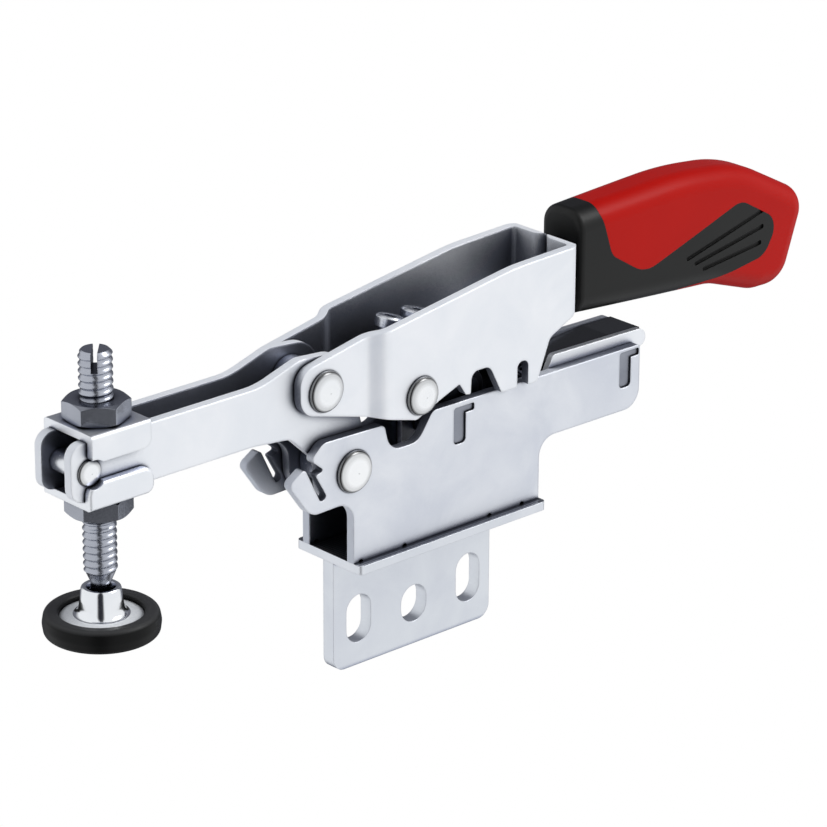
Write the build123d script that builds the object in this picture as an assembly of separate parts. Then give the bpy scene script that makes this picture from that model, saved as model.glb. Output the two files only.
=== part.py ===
from build123d import *
import os
from math import radians, sqrt, tan

# Self-adjusting horizontal toggle clamp with an open arm and a vertical base plate.
# Millimetres. +X runs from the base towards the handle, +Z is up, Y = 0 is the mid-plane, "left" is -Y.
# Everything is laid out from the front edge of the flange's top face. The finished pieces are moved
# together so that the origin is the centre of the mounting plate's middle slot.

# ---- sheet thicknesses and clearances ----
ARM_SHEET = 2.35          # arm plates
WALL_SHEET = 2.4          # base side walls
HANDLE_SHEET = 2.3        # handle side plates
LINK_SHEET = 2.2          # toggle link plates
GUIDE_SHEET = 1.6         # rear guide channel
WASHER_SHEET = 1.9        # flanged washers
FLANGE_THICK = 2.3        # horizontal flange of the base
PLATE_THICK = 3.7         # vertical mounting plate
SHEET_GAP = 0.3           # side gap between sheets that slide past each other
PIN_PLAY = 0.05           # radial play of a pin or thread in its hole
SEAT_GAP = 0.1            # gap of a part that rests on another and can lift off

# ---- layers across the clamp, from the mid-plane out ----
SPINDLE_D = 8.0           # M8 clamping spindle
SPINDLE_SIDE_PLAY = 0.25
arm_in = SPINDLE_D / 2 + SPINDLE_SIDE_PLAY
arm_out = arm_in + ARM_SHEET
wall_in = arm_out + SHEET_GAP
wall_out = wall_in + WALL_SHEET
grip_front_in = arm_out + SHEET_GAP
grip_front_out = grip_front_in + HANDLE_SHEET
handle_in = wall_out + SHEET_GAP
handle_out = handle_in + HANDLE_SHEET
link_out = arm_in - 0.05
link_in = link_out - LINK_SHEET

# ---- base ----
FLANGE_LENGTH = 62.0
FLANGE_WIDTH = 23.4
FLANGE_CORNER = 1.2
PLATE_LENGTH = 52.0       # vertical mounting plate
PLATE_DROP = 29.1         # below the flange's underside
PLATE_CORNER = 3.5
PLATE_SLOTS = [(8.2, 8.0, 12.6), (26.4, 8.4, 9.8), (44.6, 8.0, 13.0)]  # X, width, length
SLOT_FOOT = 6.0           # from the plate's bottom edge up to the slots' lower ends
WALL_FOOT_END = 61.6      # rear edge of the wall above the flange
WALL_TOP = 33.4
WALL_REAR = 96.6          # end of the rear cantilever
WALL_REAR_BOTTOM = 15.8
TABS = [(3.0, 15.7), (45.5, 55.1)]   # feet of the walls, staked through the flange
TAB_RELIEF = 1.5          # relief notch at each end of a tab
HOOK_SLOTS = [34.5, 91.4]            # X of the two slots that hold the cross plates
HOOK_SLOT_WIDTH = 4.0
HOOK_SLOT_FOOT = 22.0
HOOK_SLOT_TOP = 31.6
HOOK_NUB = 2.8            # side notch of the slot, towards the handle
HOOK_NUB_HEIGHT = 1.9
HOOK_SINK = 0.5           # ends of the cross plates, below the walls' outer faces

# ---- pivots (X, Z) with the clamp closed ----
BASE_PIVOT = (0.0, 24.2)
ARM_PIVOT = (-8.7, 46.8)  # handle on arm
LINK_PIVOT = (19.5, 39.2) # link on handle
SLIDE_PIVOT = (42.0, 33.1)  # link in the self-adjusting slider
RIVET_D = 8.0
BASE_HEAD_D = 10.8
ARM_HEAD_D = 10.4
LINK_HEAD_D = 9.8
RIVET_HEAD_H = 2.0
RIVET_RIM_H = 0.9         # height of a head's rim before its edge is rounded
BUSH_D = 11.0

# ---- arm, nose and spindle ----
ARM_NOSE = -82.3
ARM_TOP = 51.5
ARM_BOTTOM = 37.3
NOSE_RIVET = (-77.2, 44.2)
NOSE_RIVET_D = 4.0
NOSE_HEAD_D = 6.6
NOSE_HEAD_H = 1.2
NOSE_RIM_H = 0.5
NOSE_SPACER_D = 5.6
SPINDLE_X = -69.5
SPINDLE_TOP = 70.2
SPINDLE_SHOULDER = 15.9   # end of the thread
SPINDLE_NECK_Z = 12.7
NECK_D = 4.4
DRIVER_SLOT = (1.5, 4.7)  # width and depth
NUT_AF = 13.0
NUT_H = 5.0
NUT_CHAMFER = 0.85
NUT_TURN = 9.0            # degrees
WASHER_OFFSET = 0.2       # the washers' middle, behind the spindle
UPPER_WASHER_LENGTH = 17.0
LOWER_WASHER_LENGTH = 18.8
WASHER_FLAP = 6.6         # height of the washers' side flaps, with their plate
WASHER_FLAP_END = 2.2     # overhang of the lower washer's flaps past its plate
WASHER_FLAP_CORNER = 3.2
WASHER_BEND = 0.9

# ---- pressure pad ----
BALL_D = 7.0
BALL_Z = 8.1
PAD_HUB_D = 10.6
PAD_HUB_TOP = 12.0
PAD_HUB_CHAMFER = 0.8
PAD_RING_D = 27.8
PAD_RING_IN_D = 19.8
PAD_BOTTOM = 0.4
PAD_TOP = 6.1
PAD_DISH = 1.5            # dish's face, below the top of the ring
PAD_TILT = 8.0            # degrees each way

# ---- handle ----
JOGGLE = (5.0, 8.6)       # X where the plates step outwards
HANDLE_REAR = 72.5        # rear face of the plates, bent in to the tang
TANG_END = 136.0
TANG_Z = (50.5, 62.5)
GRIP_FRONT = 77.0
GRIP_HALF_WIDTH = 7.6
GRIP_FRONT_HALF_WIDTH = 6.6
GRIP_ROUND = 5.4
GRIP_RIM_ROUND = 1.8      # front rim of the collar
SOFT_SKIN = 1.6           # thickness of the soft component
GRIP_GROOVES = 3

# ---- toggle link and self-adjusting slider ----
LINK_WIDTH = 11.0
SLIDE_PIN_D = 6.0
SLIDER_THICK = 3.4
SLIDER_TRAVEL = 3.0       # self-adjustment, against the spring
SLIDER_WALL = 3.0         # above, below and ahead of the slot
PIN_RUN_FRONT = 2.6       # run of the link's pin in the slot while the clamp opens
PIN_RUN_REAR = 6.2
PIN_LIFT = 0.5            # free height of the pin in the slot, each way
TAIL_Z = 27.9
TAIL_D = 4.6
TAIL_END = 93.6
COLLAR_THICK = 1.6
SPRING_WIRE = 0.9
SPRING_D = 7.4            # over the coils
SPRING_TURNS = 8
BLOCK_HALF_WIDTH = 4.6    # cross block on the link
BLOCK_ABOVE = (5.8, 11.0) # above the link's line
BLOCK_ALONG = (-7.5, 9.5)
ADJUSTER_D = 6.0
ADJUSTER_ALONG = 5.2
ADJUSTER_TOP = 18.4
ADJUSTER_HEAD = (8.6, 3.6)    # diameter and height
LOCK_SCREW_ALONG = -3.8
LOCK_SCREW_TOP = 16.6
LOCK_SCREW_HEAD = (7.2, 2.8)
SOCKET_AF = 3.2

LEFT, RIGHT = -1, 1


def outline(*corners):
    """Closed face from (x, z, radius) corners, in local x and y."""
    points = [(c[0], c[1]) for c in corners]
    radii = [c[2] if len(c) > 2 else 0 for c in corners]
    return make_face(FilletPolyline(*points, radius=radii, close=True))


def across(face, y_low, y_high):
    """Extrude an XZ outline between two Y values."""
    return extrude(Plane.XZ.offset(-y_low) * face, amount=-(y_high - y_low))


def on_side(side, face, y_in, y_out):
    """Extrude an XZ outline in the layer y_in..y_out of one side."""
    return across(face, *sorted((side * y_in, side * y_out)))


def rod(at, diameter, y_low, y_high):
    """Cylinder along Y at (x, z)."""
    return Pos(at[0], (y_low + y_high) / 2, at[1]) * Rot(90, 0, 0) * Cylinder(diameter / 2, y_high - y_low)


def tube(at, outer, inner, y_low, y_high):
    return rod(at, outer, y_low, y_high) - rod(at, inner, y_low - 1, y_high + 1)


def rivet(at, shank_d, head_d, head_h, rim_h, half_grip):
    """Rivet along Y with two domed, round-edged heads that seat at +-half_grip."""
    radius, shank, top = head_d / 2, shank_d / 2, half_grip + head_h
    dome = head_h - rim_h
    sphere = (radius**2 + dome**2) / (2 * dome)
    mid = radius * 0.6
    mid_drop = sphere - sqrt(sphere**2 - mid**2)
    rim = half_grip + rim_h
    profile = make_face([
        ThreePointArc((0, top), (mid, top - mid_drop), (radius, rim)),
        Polyline((radius, rim), (radius, half_grip), (shank, half_grip), (shank, -half_grip),
                 (radius, -half_grip), (radius, -rim)),
        ThreePointArc((radius, -rim), (mid, mid_drop - top), (0, -top)),
        Line((0, -top), (0, top)),
    ])
    rims = profile.vertices().filter_by(lambda v: abs(abs(v.Y) - rim) < 1e-6 and v.X > mid)
    return Pos(at[0], 0, at[1]) * revolve(fillet(rims, rim_h * 1.3), Axis.Y, 360)


def save(node, shape):
    """Move a finished piece to the clamp's own origin and write it."""
    slot_x, _, slot_length = PLATE_SLOTS[1]
    slot_z = SLOT_FOOT + slot_length / 2 - PLATE_DROP - FLANGE_THICK
    solids = [Pos(-slot_x, 0, -slot_z) * solid for solid in shape.solids()]
    body = solids[0] if len(solids) == 1 else Compound(children=solids)
    export_step(body, f"parts/{node}.step")


os.makedirs("parts", exist_ok=True)


# ======== base ========
def hook_opening(x, play):
    """L-shaped opening of a wall, or with play the cross plate's hook that fills it."""
    half, top = HOOK_SLOT_WIDTH / 2 - play, HOOK_SLOT_TOP - play
    nub_x, nub_low = x + half + HOOK_NUB, top - HOOK_NUB_HEIGHT + 2 * play
    return outline((x - half, HOOK_SLOT_FOOT + play, half * 0.6), (x + half, HOOK_SLOT_FOOT + play, half * 0.6),
                   (x + half, nub_low), (nub_x, nub_low, 0.5), (nub_x, top, 0.5), (x - half, top, 0.8))


def wall(side):
    """Side wall: foot, slit nose at the front, dip for the opened handle, rear cantilever."""
    profile = outline(
        (0, 0), (0, 16.6, 5.0), (-13.6, 16.2, 5.0), (-20.4, 25.8, 1.6), (-15.4, 28.9, 1.0),
        (-10.5, 19.0, 0.9), (-8.4, 19.9, 0.9), (-12.0, 26.2, 0.4), (-9.3, 27.0, 0.5), (-13.4, 30.4, 1.2),
        (-9.6, 33.9, 3.5), (9.8, WALL_TOP, 1.6), (11.6, 26.2, 4.6), (20.8, 26.2, 4.6), (25.6, WALL_TOP - 0.4, 2.5),
        (WALL_REAR, WALL_TOP - 1.0, 1.0), (WALL_REAR, WALL_REAR_BOTTOM, 5.0),
        (WALL_FOOT_END, WALL_REAR_BOTTOM + 0.2, 5.0), (WALL_FOOT_END, 0))
    plate = on_side(side, profile, wall_in, wall_out)
    plate -= rod(BASE_PIVOT, RIVET_D + 2 * PIN_PLAY, *sorted((side * (wall_in - 1), side * (wall_out + 1))))
    for x in HOOK_SLOTS:
        plate -= on_side(side, hook_opening(x, 0), wall_in - 1, wall_out + 1)
    for start, end in TABS:
        tab = outline((start, -FLANGE_THICK), (end, -FLANGE_THICK), (end, 1.0), (start, 1.0))
        plate += on_side(side, tab, wall_in, wall_out)
        for x in (start - TAB_RELIEF / 2, end + TAB_RELIEF / 2):
            plate -= rod((x, 0), TAB_RELIEF, *sorted((side * (wall_in - 1), side * (wall_out + 1))))
    return plate


def flange():
    plate = Pos(FLANGE_LENGTH / 2, 0, -FLANGE_THICK / 2) * Box(FLANGE_LENGTH, FLANGE_WIDTH, FLANGE_THICK)
    plate = fillet(plate.edges().filter_by(Axis.Z), FLANGE_CORNER)
    for side in (LEFT, RIGHT):
        for start, end in TABS:
            middle, length = (start + end) / 2, end - start + 2 * PIN_PLAY
            plate -= Pos(middle, side * (wall_in + wall_out) / 2, -FLANGE_THICK / 2) * Box(
                length, WALL_SHEET + 2 * PIN_PLAY, FLANGE_THICK + 2)
    return plate


def mounting_plate():
    """Vertical plate, butt-welded under the flange, with a row of upright slots."""
    top, bottom = -FLANGE_THICK, -FLANGE_THICK - PLATE_DROP
    plate = across(outline((0, top), (0, bottom, PLATE_CORNER), (PLATE_LENGTH, bottom, PLATE_CORNER),
                           (PLATE_LENGTH, top)), -PLATE_THICK / 2, PLATE_THICK / 2)
    for x, width, length in PLATE_SLOTS:
        middle = bottom + SLOT_FOOT + length / 2
        hole = Pos(x, middle) * Rot(0, 0, 90) * SlotOverall(length, width)
        plate -= across(hole, -PLATE_THICK, PLATE_THICK)
    return plate


def cross_plate(x, saddle_z=None, bore=None):
    """Plate hooked into both walls; the front one is cut down to a saddle, the rear one is bored."""
    ear, half = hook_opening(x, PIN_PLAY), HOOK_SLOT_WIDTH / 2 - PIN_PLAY
    foot, top = HOOK_SLOT_FOOT + PIN_PLAY, HOOK_SLOT_TOP - PIN_PLAY
    plate = on_side(LEFT, ear, wall_in - 0.1, wall_out - HOOK_SINK) + on_side(
        RIGHT, ear, wall_in - 0.1, wall_out - HOOK_SINK)
    plate += Pos(x, 0, (foot + top) / 2) * Box(2 * half, 2 * wall_in, top - foot)
    if saddle_z:
        plate -= Pos(x, 0, saddle_z + 10) * Box(HOOK_SLOT_WIDTH, 2 * (wall_in - GUIDE_SHEET - 0.1), 20)
    if bore:
        plate -= Pos(x, 0, TAIL_Z) * Rot(0, 90, 0) * Cylinder(bore / 2, HOOK_SLOT_WIDTH + 2)
    return plate


GUIDE_FRONT = 28.6
GUIDE_REAR = 101.0
GUIDE_TOP = 35.8
GUIDE_STEP = 66.0         # the channel's sides stand higher behind this
GUIDE_LOW_TOP = 31.2
GUIDE_FLOOR = 17.6
guide_half = wall_in - SEAT_GAP


def guide_side():
    return outline((GUIDE_FRONT, GUIDE_FLOOR, 1.0), (GUIDE_FRONT, GUIDE_LOW_TOP, 3.0), (GUIDE_STEP, GUIDE_LOW_TOP, 1.5),
                   (GUIDE_STEP + 2.4, GUIDE_TOP, 1.4), (GUIDE_REAR, GUIDE_TOP - 0.6, 2.6), (GUIDE_REAR, 30.6, 2.0),
                   (WALL_REAR + 0.6, 30.6, 1.2), (WALL_REAR - 1.0, GUIDE_FLOOR, 4.0))


def rear_guide():
    """Folded channel between the walls: two sides, a floor under the cantilever, and slots for the cross plates."""
    channel = Part()
    for side in (LEFT, RIGHT):
        channel += on_side(side, guide_side(), guide_half - GUIDE_SHEET, guide_half)
    floor = outline((64.0, GUIDE_FLOOR), (WALL_REAR - 5.0, GUIDE_FLOOR), (WALL_REAR - 5.0, GUIDE_FLOOR + GUIDE_SHEET),
                    (64.0, GUIDE_FLOOR + GUIDE_SHEET))
    channel += across(floor, -guide_half, guide_half)
    for x in HOOK_SLOTS:
        opening = outline((x - 2, HOOK_SLOT_FOOT), (x + 2, HOOK_SLOT_FOOT), (x + 2, GUIDE_TOP - 3.4),
                          (x - 2, GUIDE_TOP - 3.4))
        channel -= across(opening, -wall_out, wall_out)
    return channel


def rear_cover():
    """Black plastic buffer clipped into the top of the rear guide; the closed handle stands over it."""
    half = guide_half - GUIDE_SHEET - 0.05
    strip = outline((GUIDE_STEP + 2.6, 32.0), (GUIDE_STEP + 2.6, 33.2), (GUIDE_STEP + 24, GUIDE_TOP - 0.7),
                    (GUIDE_REAR - 0.6, GUIDE_TOP - 0.9), (GUIDE_REAR - 0.6, 32.0))
    return across(strip, -half, half)


# ======== arm ========
def arm_plate(side):
    """Arm plate: straight bar to the nose, lobe for the handle pivot, lobe for the base pivot."""
    profile = outline(
        (ARM_NOSE, ARM_TOP, 3.4), (-26.5, ARM_TOP, 22.0), (-14.4, 55.3, 6.5), (-1.0, 54.2, 7.5), (8.6, 22.0, 8.0),
        (2.4, 15.4, 6.0), (-8.4, 17.0, 7.0), (-8.8, 28.0, 5.0), (-17.5, 36.2, 5.0), (-29.0, ARM_BOTTOM, 20.0),
        (ARM_NOSE, ARM_BOTTOM, 3.4))
    plate = on_side(side, profile, arm_in, arm_out)
    reach = sorted((side * (arm_in - 1), side * (arm_out + 1)))
    for at, diameter in ((BASE_PIVOT, RIVET_D), (ARM_PIVOT, RIVET_D), (NOSE_RIVET, NOSE_RIVET_D)):
        plate -= rod(at, diameter + 2 * PIN_PLAY, *reach)
    return plate


def flanged_washer(length, seat, upwards):
    """Sheet washer that straddles the arm: bored plate on the arm's edge and a flap down or up each side."""
    out, middle = arm_out + SHEET_GAP + WASHER_SHEET, SPINDLE_X + WASHER_OFFSET
    front, rear = middle - length / 2, middle + length / 2
    plate_rear, plate_z = (rear - WASHER_FLAP_END, seat - WASHER_SHEET) if upwards else (rear, seat)
    plate = Pos((front + plate_rear) / 2, 0, plate_z + WASHER_SHEET / 2) * Box(plate_rear - front, 2 * out, WASHER_SHEET)
    low, high = (plate_z, plate_z + WASHER_FLAP) if upwards else (plate_z + WASHER_SHEET - WASHER_FLAP, seat + 0.9)
    if upwards:
        flap = outline((front, low, 0.9), (rear, low, 2.2), (rear, high, WASHER_FLAP_CORNER),
                       (front, high, WASHER_FLAP_CORNER))
    else:
        flap = outline((front, low, 1.5), (rear, low, 2.2), (rear, high), (front, high))
    for side in (LEFT, RIGHT):
        plate += on_side(side, flap, out - WASHER_SHEET, out)
    bend_z = plate_z if upwards else plate_z + WASHER_SHEET
    outer = plate.edges().filter_by(Axis.X).filter_by(
        lambda e: abs(abs(e.center().Y) - out) < 0.01 and abs(e.center().Z - bend_z) < 0.01)
    plate = fillet(outer, WASHER_BEND)
    bore = Pos(SPINDLE_X, 0, plate_z + WASHER_SHEET / 2) * Cylinder(SPINDLE_D / 2 + SHEET_GAP, WASHER_SHEET + 2)
    head_room = rod(NOSE_RIVET, NOSE_HEAD_D + 2 * SHEET_GAP, -out - 1, out + 1) - rod(
        NOSE_RIVET, NOSE_HEAD_D + 2, -arm_out, arm_out)
    return plate - bore - head_room


def nut(bottom):
    """Hexagon nut with chamfered corners."""
    hexagon = extrude(RegularPolygon(NUT_AF / 2, 6, major_radius=False), amount=NUT_H)
    crown = NUT_AF / 2
    cone = revolve(Plane.XZ * make_face(Polyline(
        (0, 0), (crown - 0.2, 0), (crown + 1.3, NUT_CHAMFER), (crown + 1.3, NUT_H - NUT_CHAMFER),
        (crown - 0.2, NUT_H), (0, NUT_H), (0, 0))), Axis.Z, 360)
    body = (hexagon & cone) - Pos(0, 0, NUT_H / 2) * Cylinder(SPINDLE_D / 2 + PIN_PLAY, NUT_H + 2)
    return Pos(SPINDLE_X, 0, bottom) * Rot(0, 0, NUT_TURN) * body


def spindle():
    """Threaded spindle with a driver slot on top and a ball end; the thread is left plain."""
    radius, neck, ball = SPINDLE_D / 2, NECK_D / 2, BALL_D / 2
    ball_join = BALL_Z + sqrt(ball**2 - neck**2)
    profile = make_face([
        Polyline((0, SPINDLE_TOP), (radius - 0.8, SPINDLE_TOP), (radius, SPINDLE_TOP - 0.8), (radius, SPINDLE_SHOULDER),
                 (neck, SPINDLE_NECK_Z), (neck, ball_join)),
        ThreePointArc((neck, ball_join), (ball, BALL_Z), (0, BALL_Z - ball)),
        Line((0, BALL_Z - ball), (0, SPINDLE_TOP)),
    ])
    turned = revolve(Plane.XZ * profile, Axis.Z, 360)
    width, depth = DRIVER_SLOT
    turned -= Pos(0, 0, SPINDLE_TOP - depth / 2) * Rot(0, 0, 47) * Box(SPINDLE_D + 2, width, depth + 0.01)
    return Pos(SPINDLE_X, 0, 0) * turned


def pad_cup():
    """Turned hub with a ball socket, on a flat dish that carries the rubber ring."""
    hub, dish = PAD_HUB_D / 2, PAD_RING_IN_D / 2
    mouth = NECK_D / 2 + 0.35 + (PAD_HUB_TOP - BALL_Z) * tan(radians(PAD_TILT))
    floor, face = PAD_BOTTOM + 0.8, PAD_TOP - PAD_DISH
    profile = outline((0, floor), (dish, floor), (dish, face, 0.3), (hub, face, 0.8), (hub, PAD_HUB_TOP, PAD_HUB_CHAMFER),
                      (0, PAD_HUB_TOP))
    body = revolve(Plane.XZ * profile, Axis.Z, 360)
    body -= Pos(0, 0, BALL_Z) * Sphere(BALL_D / 2 + PIN_PLAY)
    body -= Pos(0, 0, PAD_HUB_TOP) * Cylinder(mouth, 2 * (PAD_HUB_TOP - BALL_Z - BALL_D * 0.3))
    return Pos(SPINDLE_X, 0, 0) * body


def pad_ring():
    """Soft ring around the dish, with rounded outer edges and a lip over the dish's rim."""
    inner, outer = PAD_RING_IN_D / 2 + PIN_PLAY, PAD_RING_D / 2
    section = outline((inner, PAD_BOTTOM, 0.5), (outer - 0.4, PAD_BOTTOM, 1.2), (outer, PAD_BOTTOM + 2.8, 2.5),
                      (outer - 0.5, PAD_TOP, 1.5), (inner, PAD_TOP, 0.9))
    return Pos(SPINDLE_X, 0, 0) * revolve(Plane.XZ * section, Axis.Z, 360)


# ======== handle ========
def handle_profile():
    """Side view of a handle plate, with the notches of its lower edge and the tang's outline."""
    tang_low, tang_high = TANG_Z
    return outline(
        (-16.4, 42.5, 5.0), (17.9, 33.3, 2.0), (26.0, 36.7, 4.0), (31.9, 38.9, 0.6), (34.0, 35.7, 0.4),
        (35.6, 35.4, 0.4), (35.9, 41.0, 2.2), (41.9, 41.0, 2.6), (45.9, 33.2, 0.5), (51.2, 33.0, 0.4),
        (51.2, 39.6, 1.7), (54.9, 39.6, 1.7), (54.9, 32.9, 0.4), (58.0, 32.8, 0.8), (62.2, 43.4, 3.0),
        (HANDLE_REAR + 0.1, 48.2),
        (HANDLE_REAR + 0.1, tang_low), (TANG_END, tang_low, 2.0), (TANG_END, tang_high, 2.0),
        (HANDLE_REAR + 0.1, tang_high), (HANDLE_REAR + 0.1, 65.1, 1.0), (50.0, 64.3, 60.0), (9.0, 58.1, 40.0),
        (-16.4, 53.1, 4.6))


def handle_plate(side):
    """Stamped handle plate: stepped outwards behind the arm, and bent in at the rear to a tang."""
    front, rear = (grip_front_in + grip_front_out) / 2, (handle_in + handle_out) / 2
    tang, bend_x = HANDLE_SHEET / 2 + PIN_PLAY, HANDLE_REAR - HANDLE_SHEET / 2
    path = FilletPolyline((-30, side * front), (JOGGLE[0], side * front), (JOGGLE[1], side * rear),
                          (bend_x, side * rear), (bend_x, side * tang), (TANG_END + 2, side * tang),
                          radius=[5.0, 5.0, 2.2, 2.2])
    sheet = extrude(trace(path, HANDLE_SHEET), amount=90)
    plate = sheet & on_side(side, handle_profile(), 0.01, handle_out + 1)
    for at in (ARM_PIVOT, LINK_PIVOT):
        plate -= rod(at, RIVET_D + 2 * PIN_PLAY, *sorted((side * 3, side * (handle_out + 1))))
    return plate


def grip_profile(inset=0.0):
    front = GRIP_FRONT - 12
    face = outline((front, 70.2), (115.0, 72.6, 110.0), (136.2, 70.5, 45.0), (161.6, 57.2, 7.0), (153.4, 34.2, 8.5),
                   (142.4, 34.5, 9.0), (126.5, 39.9, 24.0), (front, 44.2))
    return offset(face, amount=-inset) if inset else face


def grip_body(inset=0.0):
    """Moulded grip blank: side view crossed with a slightly barrelled plan, long edges rounded."""
    wide, narrow, front = GRIP_HALF_WIDTH - inset, GRIP_FRONT_HALF_WIDTH - inset, GRIP_FRONT - 14
    half_plan = [
        Line((front, -narrow), (front, narrow)),
        ThreePointArc((front, narrow), (128.0, wide), (172.0, wide - 0.9)),
        Line((172.0, wide - 0.9), (172.0, 0.9 - wide)),
        ThreePointArc((172.0, 0.9 - wide), (128.0, -wide), (front, -narrow)),
    ]
    plan = extrude(make_face(half_plan), amount=100)
    blank = across(grip_profile(inset), -20, 20) & plan
    long_edges = blank.edges().filter_by(lambda e: abs(abs(e.center().Y) - wide) < 2.2 and e.center().X > front + 3)
    blank = fillet(long_edges, GRIP_ROUND - inset * 0.8)
    cut_x = GRIP_FRONT + inset
    blank -= Pos(cut_x - 30, 0, 55) * Box(60, 60, 60)
    if not inset:
        blank = fillet(blank.faces().sort_by(Axis.X)[0].edges(), GRIP_RIM_ROUND)
    return blank


def soft_area():
    """Side view of the soft component: collar, lower strap and the swoosh along the grip."""
    return outline((GRIP_FRONT - 5, 80), (84.2, 80), (84.2, 69.0, 2.0), (88.0, 57.4, 5.0), (99.6, 50.2, 9.0),
                   (134.2, 61.6, 6.0), (148.9, 53.2, 5.0), (143.8, 44.6, 6.0), (126.5, 42.3, 8.0), (114.0, 42.0),
                   (110.0, 34), (GRIP_FRONT - 5, 34))


def grip_groove(index):
    """One finger groove of the swoosh, a long slot in side view."""
    middle, tilt = (129.0 + 1.2 * index, 53.8 - 3.2 * index), 14.0 - 4.0 * index
    return Pos(*middle) * Rot(0, 0, tilt) * SlotOverall(30.0 - 4.0 * index, 1.3)


# ======== toggle link and self-adjusting slider ========
def link_line(along, above=0.0):
    """Point on the link: distance from the link pivot towards the slider, and above its line."""
    dx, dz = SLIDE_PIVOT[0] - LINK_PIVOT[0], SLIDE_PIVOT[1] - LINK_PIVOT[1]
    length = sqrt(dx**2 + dz**2)
    return (LINK_PIVOT[0] + (dx * along - dz * above) / length, LINK_PIVOT[1] + (dz * along + dx * above) / length)


link_length = sqrt((SLIDE_PIVOT[0] - LINK_PIVOT[0])**2 + (SLIDE_PIVOT[1] - LINK_PIVOT[1])**2)


def link_plate(side):
    ends = make_hull((Pos(*LINK_PIVOT) * Circle(LINK_WIDTH / 2)).edges()
                     + (Pos(*SLIDE_PIVOT) * Circle(LINK_WIDTH / 2 - 0.6)).edges())
    plate = on_side(side, ends, link_in, link_out)
    reach = sorted((side * (link_in - 1), side * (link_out + 1)))
    plate -= rod(LINK_PIVOT, RIVET_D + 2 * PIN_PLAY, *reach)
    plate -= rod(SLIDE_PIVOT, SLIDE_PIN_D + 2 * PIN_PLAY, *reach)
    return plate


def block_frame(along, above):
    """Frame on the link with local Z standing square off its line."""
    x, z = link_line(along, above)
    dx, dz = SLIDE_PIVOT[0] - LINK_PIVOT[0], SLIDE_PIVOT[1] - LINK_PIVOT[1]
    return Plane(origin=(x, 0, z), x_dir=(dx, 0, dz), z_dir=(-dz, 0, dx))


def link_block():
    """Cross block: a stem held between the link plates and a head that carries the screws."""
    low, high = BLOCK_ABOVE
    start, end = BLOCK_ALONG
    middle = (start + end) / 2
    head = block_frame(middle, (low + high) / 2) * Box(end - start, 2 * BLOCK_HALF_WIDTH, high - low)
    head = fillet(head.edges().filter_by(Axis.Y), 1.2)
    head += block_frame(ADJUSTER_ALONG + 2.6, low / 2 + 1.2) * Box(4.0, 2 * link_in, low + 0.4)
    for along, diameter in ((ADJUSTER_ALONG, ADJUSTER_D), (LOCK_SCREW_ALONG, LOCK_SCREW_HEAD[0] - 2.2)):
        head -= block_frame(along, high) * Cylinder(diameter / 2 + PIN_PLAY, 2 * (high - low) - 1.2)
    return head


def socket_screw(along, top, head, diameter):
    """Screw standing on the link block, with a hexagon socket in its head."""
    head_d, head_h = head
    foot = BLOCK_ABOVE[0] + 0.8
    cap = block_frame(along, top - head_h / 2) * Cylinder(head_d / 2, head_h)
    cap = chamfer(cap.edges().filter_by(GeomType.CIRCLE).sort_by(Axis.Z)[-1], 0.5)
    shank = block_frame(along, (foot + top - head_h) / 2) * Cylinder(diameter / 2, top - head_h - foot)
    socket = block_frame(along, top - head_h * 0.6) * extrude(RegularPolygon(SOCKET_AF / 2, 6, major_radius=False),
                                                            amount=head_h)
    return cap + shank - socket


slot_front = SLIDE_PIVOT[0] - SLIDE_PIN_D / 2 - PIN_RUN_FRONT - SLIDER_TRAVEL - PIN_PLAY
slot_rear = SLIDE_PIVOT[0] + SLIDE_PIN_D / 2 + PIN_RUN_REAR + PIN_PLAY
slot_height = SLIDE_PIN_D + 2 * PIN_LIFT
slider_low = SLIDE_PIVOT[1] - slot_height / 2 - SLIDER_WALL
slider_rear = slot_rear + SLIDER_WALL
spring_seat = slider_rear + COLLAR_THICK
rear_plate_front = HOOK_SLOTS[1] - HOOK_SLOT_WIDTH / 2


def slider():
    """Slotted slide with a turned collar and tail; it gives way to suit the work's thickness."""
    half = SLIDER_THICK / 2
    front, high = slot_front - SLIDER_WALL, SLIDE_PIVOT[1] + slot_height / 2 + SLIDER_WALL
    block = across(outline((front, slider_low, 1.5), (slider_rear, slider_low), (slider_rear, high, 4.0),
                           (front, high, 4.0)), -half, half)
    slot = Pos((slot_front + slot_rear) / 2, SLIDE_PIVOT[1]) * SlotOverall(slot_rear - slot_front, slot_height)
    block -= across(slot, -half - 1, half + 1)
    collar = Pos(slider_rear + COLLAR_THICK / 2, 0, TAIL_Z) * Rot(0, 90, 0) * Cylinder(SPRING_D / 2, COLLAR_THICK)
    tail = Pos((slider_rear + TAIL_END) / 2, 0, TAIL_Z) * Rot(0, 90, 0) * Cylinder(TAIL_D / 2, TAIL_END - slider_rear)
    return block + collar + tail


def slider_spring():
    """Compression spring around the tail, between the collar and the rear cross plate."""
    coil = (SPRING_D - SPRING_WIRE) / 2
    length = rear_plate_front - spring_seat - SPRING_WIRE - 2 * SEAT_GAP
    path = Helix(pitch=length / SPRING_TURNS, height=length, radius=coil)
    wire = sweep(Plane(origin=path @ 0, z_dir=path % 0) * Circle(SPRING_WIRE / 2), path=path)
    return Pos(spring_seat + SPRING_WIRE / 2 + SEAT_GAP, 0, TAIL_Z) * Rot(0, 90, 0) * wire


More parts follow.
